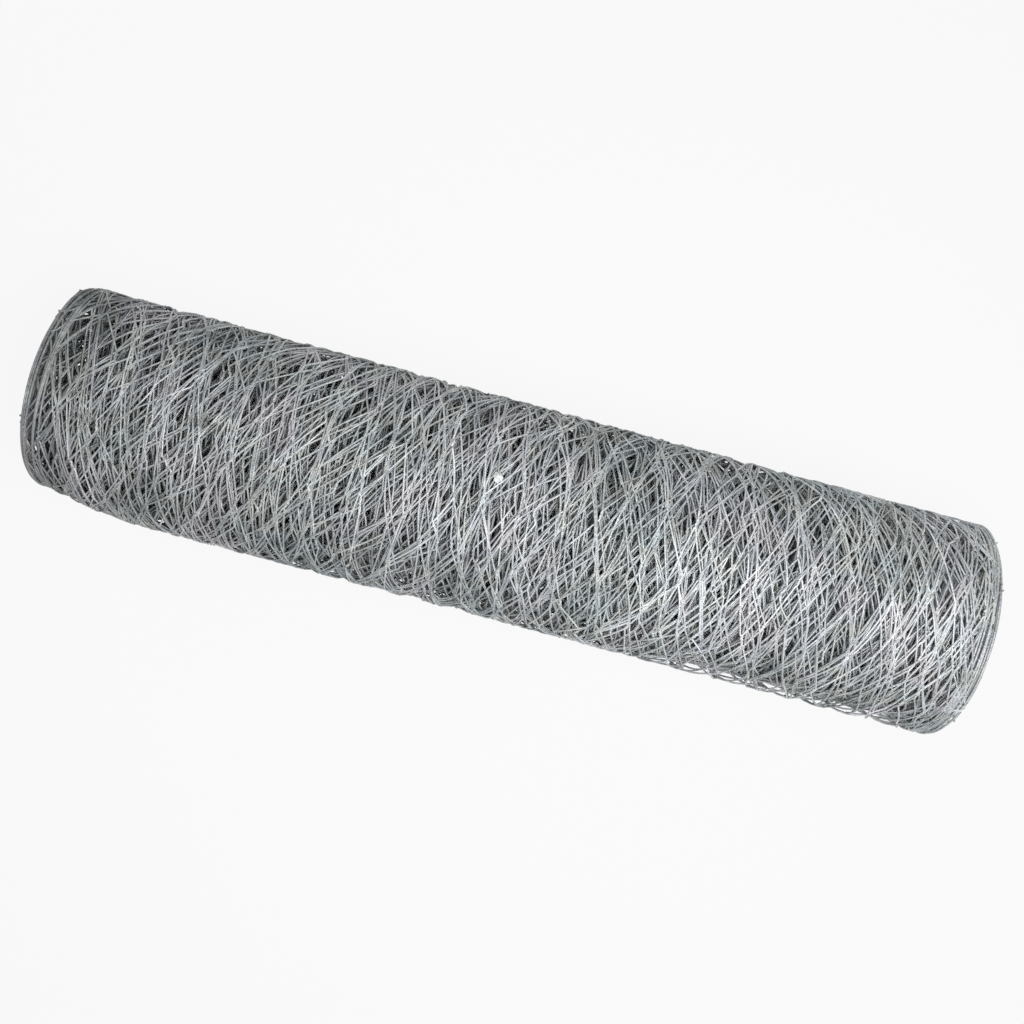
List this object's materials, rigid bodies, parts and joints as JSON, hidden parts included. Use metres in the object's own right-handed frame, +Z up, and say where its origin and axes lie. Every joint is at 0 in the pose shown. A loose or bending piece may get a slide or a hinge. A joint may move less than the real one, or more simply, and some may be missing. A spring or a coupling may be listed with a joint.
{
  "type": "roll of chicken wire",
  "caption": "Wound roll of galvanised hexagonal wire netting with an open bore, lying on its side, stock for fencing runs and coops.",
  "frame": {"origin": "on the floor under the middle of the roll as it lies on its side", "axes": "+X along the roll's axis, +Z up, +Y across the roll"},
  "size_m": [0.61, 0.1459, 0.146],
  "materials": {
    "galvanised_wire": "galvanised"
  },
  "bodies": {
    "root": {"netting_roll": "galvanised_wire"}
  },
  "joints": []
}
